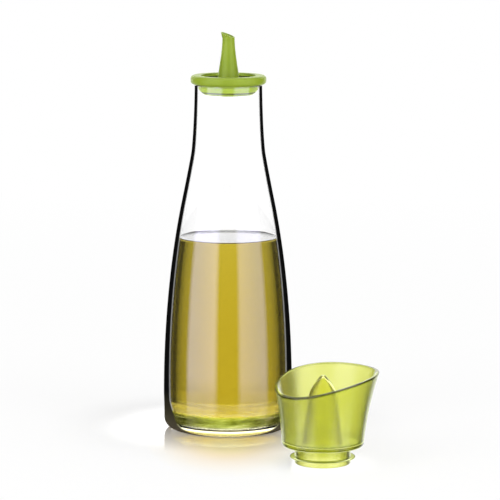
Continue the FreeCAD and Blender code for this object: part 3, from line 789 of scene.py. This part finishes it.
hollow, slope = cone_side(CONE_WALL, CONE_HOLLOW_TIP)
cone, _ = cone_side(0.0, CONE_TIP[0])
hollow_foot = hollow[0][0] + slope * (CAP_FLOOR - CAP_UNDERSIDE)
outer_low = CAP_UNDERSIDE + CAP_BODY_ROUND
inner_low = CAP_FLOOR + CAP_INNER_ROUND
inner_edge = CAP_BODY - CAP_WALL - CAP_INNER_ROUND
cap_bore = CAP_NECK - CAP_NECK_WALL
underneath = [(0.0, hollow[-1][1])] + hollow[::-1]
underneath += [(hollow_foot, CAP_UNDERSIDE), (cap_bore, CAP_UNDERSIDE)]
underneath += [(cap_bore, CAP_BORE_EDGE), (cap_bore + CAP_BORE_EDGE, 0.0)]
underneath += corner((CAP_NECK - CAP_NECK_EDGE, CAP_NECK_EDGE), CAP_NECK_EDGE, -90, 0, 6)
underneath += [(CAP_NECK, CAP_NECK_EDGE), (CAP_NECK, CAP_UNDERSIDE - CAP_NECK_TOP_EDGE)]
underneath += [(CAP_NECK + CAP_NECK_TOP_EDGE, CAP_UNDERSIDE)]
underneath += corner((CAP_BODY - CAP_BODY_ROUND, outer_low), CAP_BODY_ROUND, -90, 0, 8)
inside = corner((inner_edge, inner_low), CAP_INNER_ROUND, 0, -90, 8)[1:]
inside += [(inner_edge, CAP_FLOOR), (CONE_FOOT[0] + 0.5, CAP_FLOOR)] + cone[1:] + [(0.0, CONE_TIP[1])]
section = marked(underneath, 0.0) + marked(cup_side(0.0, outer_low), OUTER_WALL)
section += marked(reversed(cup_side(CAP_WALL, inner_low)), INNER_WALL) + marked(inside, 0.0)

cup = turn(section, mark="face")
edge = cup.verts.layers.float.new("edge")
face = cup.verts.layers.float["face"]
high_way = Vector((math.cos(math.radians(HIGH_SIDE)), math.sin(math.radians(HIGH_SIDE))))
for vert in cup.verts:
    out = math.hypot(vert.co.x, vert.co.y) / MM
    if vert[face] > OUTER_WALL / 2:
        # Above the rounded foot each wall is drawn down to the slanted rim along its own curve. The
        # rim's height hangs on how far out it is there and the other way round: a few rounds settle it.
        on_outside = vert[face] < (OUTER_WALL + INNER_WALL) / 2
        low_z, inset = (outer_low, 0.0) if on_outside else (inner_low, CAP_WALL)
        flat = Vector((vert.co.x, vert.co.y)).normalized()
        towards = flat.dot(high_way)
        top = RIM_HIGH
        for _ in range(RIM_ROUNDS):
            reach = cup_radius((top - low_z) / (FLARE[2] - low_z), inset) * towards
            fall = RIM_REACH - reach - LEAN * (top - CAP_UNDERSIDE)
            top = RIM_HIGH - (RIM_SWEEP - math.sqrt(RIM_SWEEP ** 2 - fall ** 2))
        z = low_z + (vert.co.z / MM - low_z) / (FLARE[2] - low_z) * (top - low_z)
        radius = cup_radius((z - low_z) / (FLARE[2] - low_z), inset)
        vert.co = Vector((*(flat * radius + high_way * LEAN * (z - CAP_UNDERSIDE)), z)) * MM
    elif vert.co.z > CAP_UNDERSIDE * MM and out > inner_edge:
        shift = high_way * LEAN * (vert.co.z - CAP_UNDERSIDE * MM)
        vert.co.x += shift.x
        vert.co.y += shift.y
rim_edges = [e for e in cup.edges
             if all(v[face] > OUTER_WALL / 2 for v in e.verts)
             and round(e.verts[0][face]) == round(e.verts[1][face])
             and any({round(v[face]) for v in f.verts} == {OUTER_WALL, INNER_WALL} for f in e.link_faces)]
rounded = bmesh.ops.bevel(cup, geom=rim_edges, offset=RIM_EDGE * MM, offset_type="OFFSET", segments=4,
                          profile=0.5, affect="EDGES", material=-1)
for vert in rounded["verts"]:
    vert[edge] = RIM_LINE_EDGE if vert[face] < (OUTER_WALL + INNER_WALL) / 2 else CONE_EDGE
for vert in cup.verts:
    out, height = math.hypot(vert.co.x, vert.co.y) / MM, vert.co.z / MM
    if vert[edge] < PLAIN_EDGE and (out > CONE_FOOT[0] + 0.2 or height < CAP_UNDERSIDE - 0.1):
        vert[edge] = PLAIN_EDGE
    if out > CAP_BODY - 1.5:
        if CAP_UNDERSIDE < height < outer_low + 0.2:
            vert[edge] = FOOT_ROUND_EDGE
        elif height < outer_low + FOOT_WALL_RISE:
            vert[edge] = FOOT_WALL_EDGE
bmesh.ops.recalc_face_normals(cup, faces=cup.faces)
bmesh.ops.translate(cup, verts=cup.verts, vec=CAP_PLACE)

frosted = Finish("frosted_lime_plastic")
frosted.set(Transmission_Weight=0.90, Roughness=0.25, IOR=1.42, Specular_IOR_Level=0.15)
mark = frosted.mark("edge")
wall_colour_and_painted_shade = frosted.ramp(frosted.facing(), *WALL_COLOUR_AND_PAINTED_SHADE)
frosted.feed(frosted.mix(1.0, wall_colour_and_painted_shade, frosted.ramp(mark, *EDGE_MARK_PAINTED_LIGHT_AND_SHADE), "MULTIPLY"), "Base Color")
frosted.feed(frosted.ramp(mark, *EDGE_MARK_SHINE), "Specular Tint")
absorb = frosted.node("VolumeAbsorption", {"Color": CAP_COLOUR, "Density": CAP_DENSITY})
frosted.join(absorb.outputs["Volume"], frosted.output.inputs["Volume"])

cap = make_object("cap", cup, frosted.material)
smooth(cap)
cap.visible_glossy = False
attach(cap, "root")
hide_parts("cap")


# --- Cap seal ---
# Clear silicone ring on the cap's neck, thinning towards its free edge.
SEAL_REACH = 18.5
SEAL_Z = 3.7
SEAL_ROOT = 0.6               # half thickness at the neck
SEAL_TIP = 0.25               # and at the free edge
SEAL_TAPER_END = 0.6          # the thinning ends this far from the free edge
SEAL_SINK = 0.05              # how far the ring reaches into the neck
SEAL_SWELL = 0.05             # how much thicker than the free edge it is where the thinning ends
# The silicone's tint, with painted shade that darkens it towards the free edge as a dark edge line.
SEAL_TINT_AND_PAINTED_EDGE = ((0.1, (0.36, 0.40, 0.08)), (0.8, (0.07, 0.09, 0.01)))

free_edge = corner((SEAL_REACH - SEAL_TIP, SEAL_Z), SEAL_TIP, -90, 90, 8)
free_edge += [(SEAL_REACH - SEAL_TIP, SEAL_Z + SEAL_TIP)]
root, taper_end, half = CAP_NECK - SEAL_SINK, SEAL_REACH - SEAL_TAPER_END, SEAL_TIP + SEAL_SWELL
ring_section = marked([(root, SEAL_Z - SEAL_ROOT), (taper_end, SEAL_Z - half)], 0.0)
ring_section += marked(free_edge, 1.0)
ring_section += marked([(taper_end, SEAL_Z + half), (root, SEAL_Z + SEAL_ROOT)], 0.0)
ring = turn(ring_section, closed=True, mark="edge")
bmesh.ops.translate(ring, verts=ring.verts, vec=CAP_PLACE)

silicone = Finish("clear_silicone")
silicone.set(Transmission_Weight=1.0, Roughness=0.03, IOR=1.04, Specular_Tint=(0.0, 0.0, 0.0, 1.0))
silicone.feed(silicone.ramp(silicone.mark("edge"), *SEAL_TINT_AND_PAINTED_EDGE), "Base Color")

cap_seal = make_object("cap_seal", ring, silicone.material)
smooth(cap_seal)
cap_seal.visible_glossy = False
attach(cap_seal, "root")
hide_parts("cap_seal")
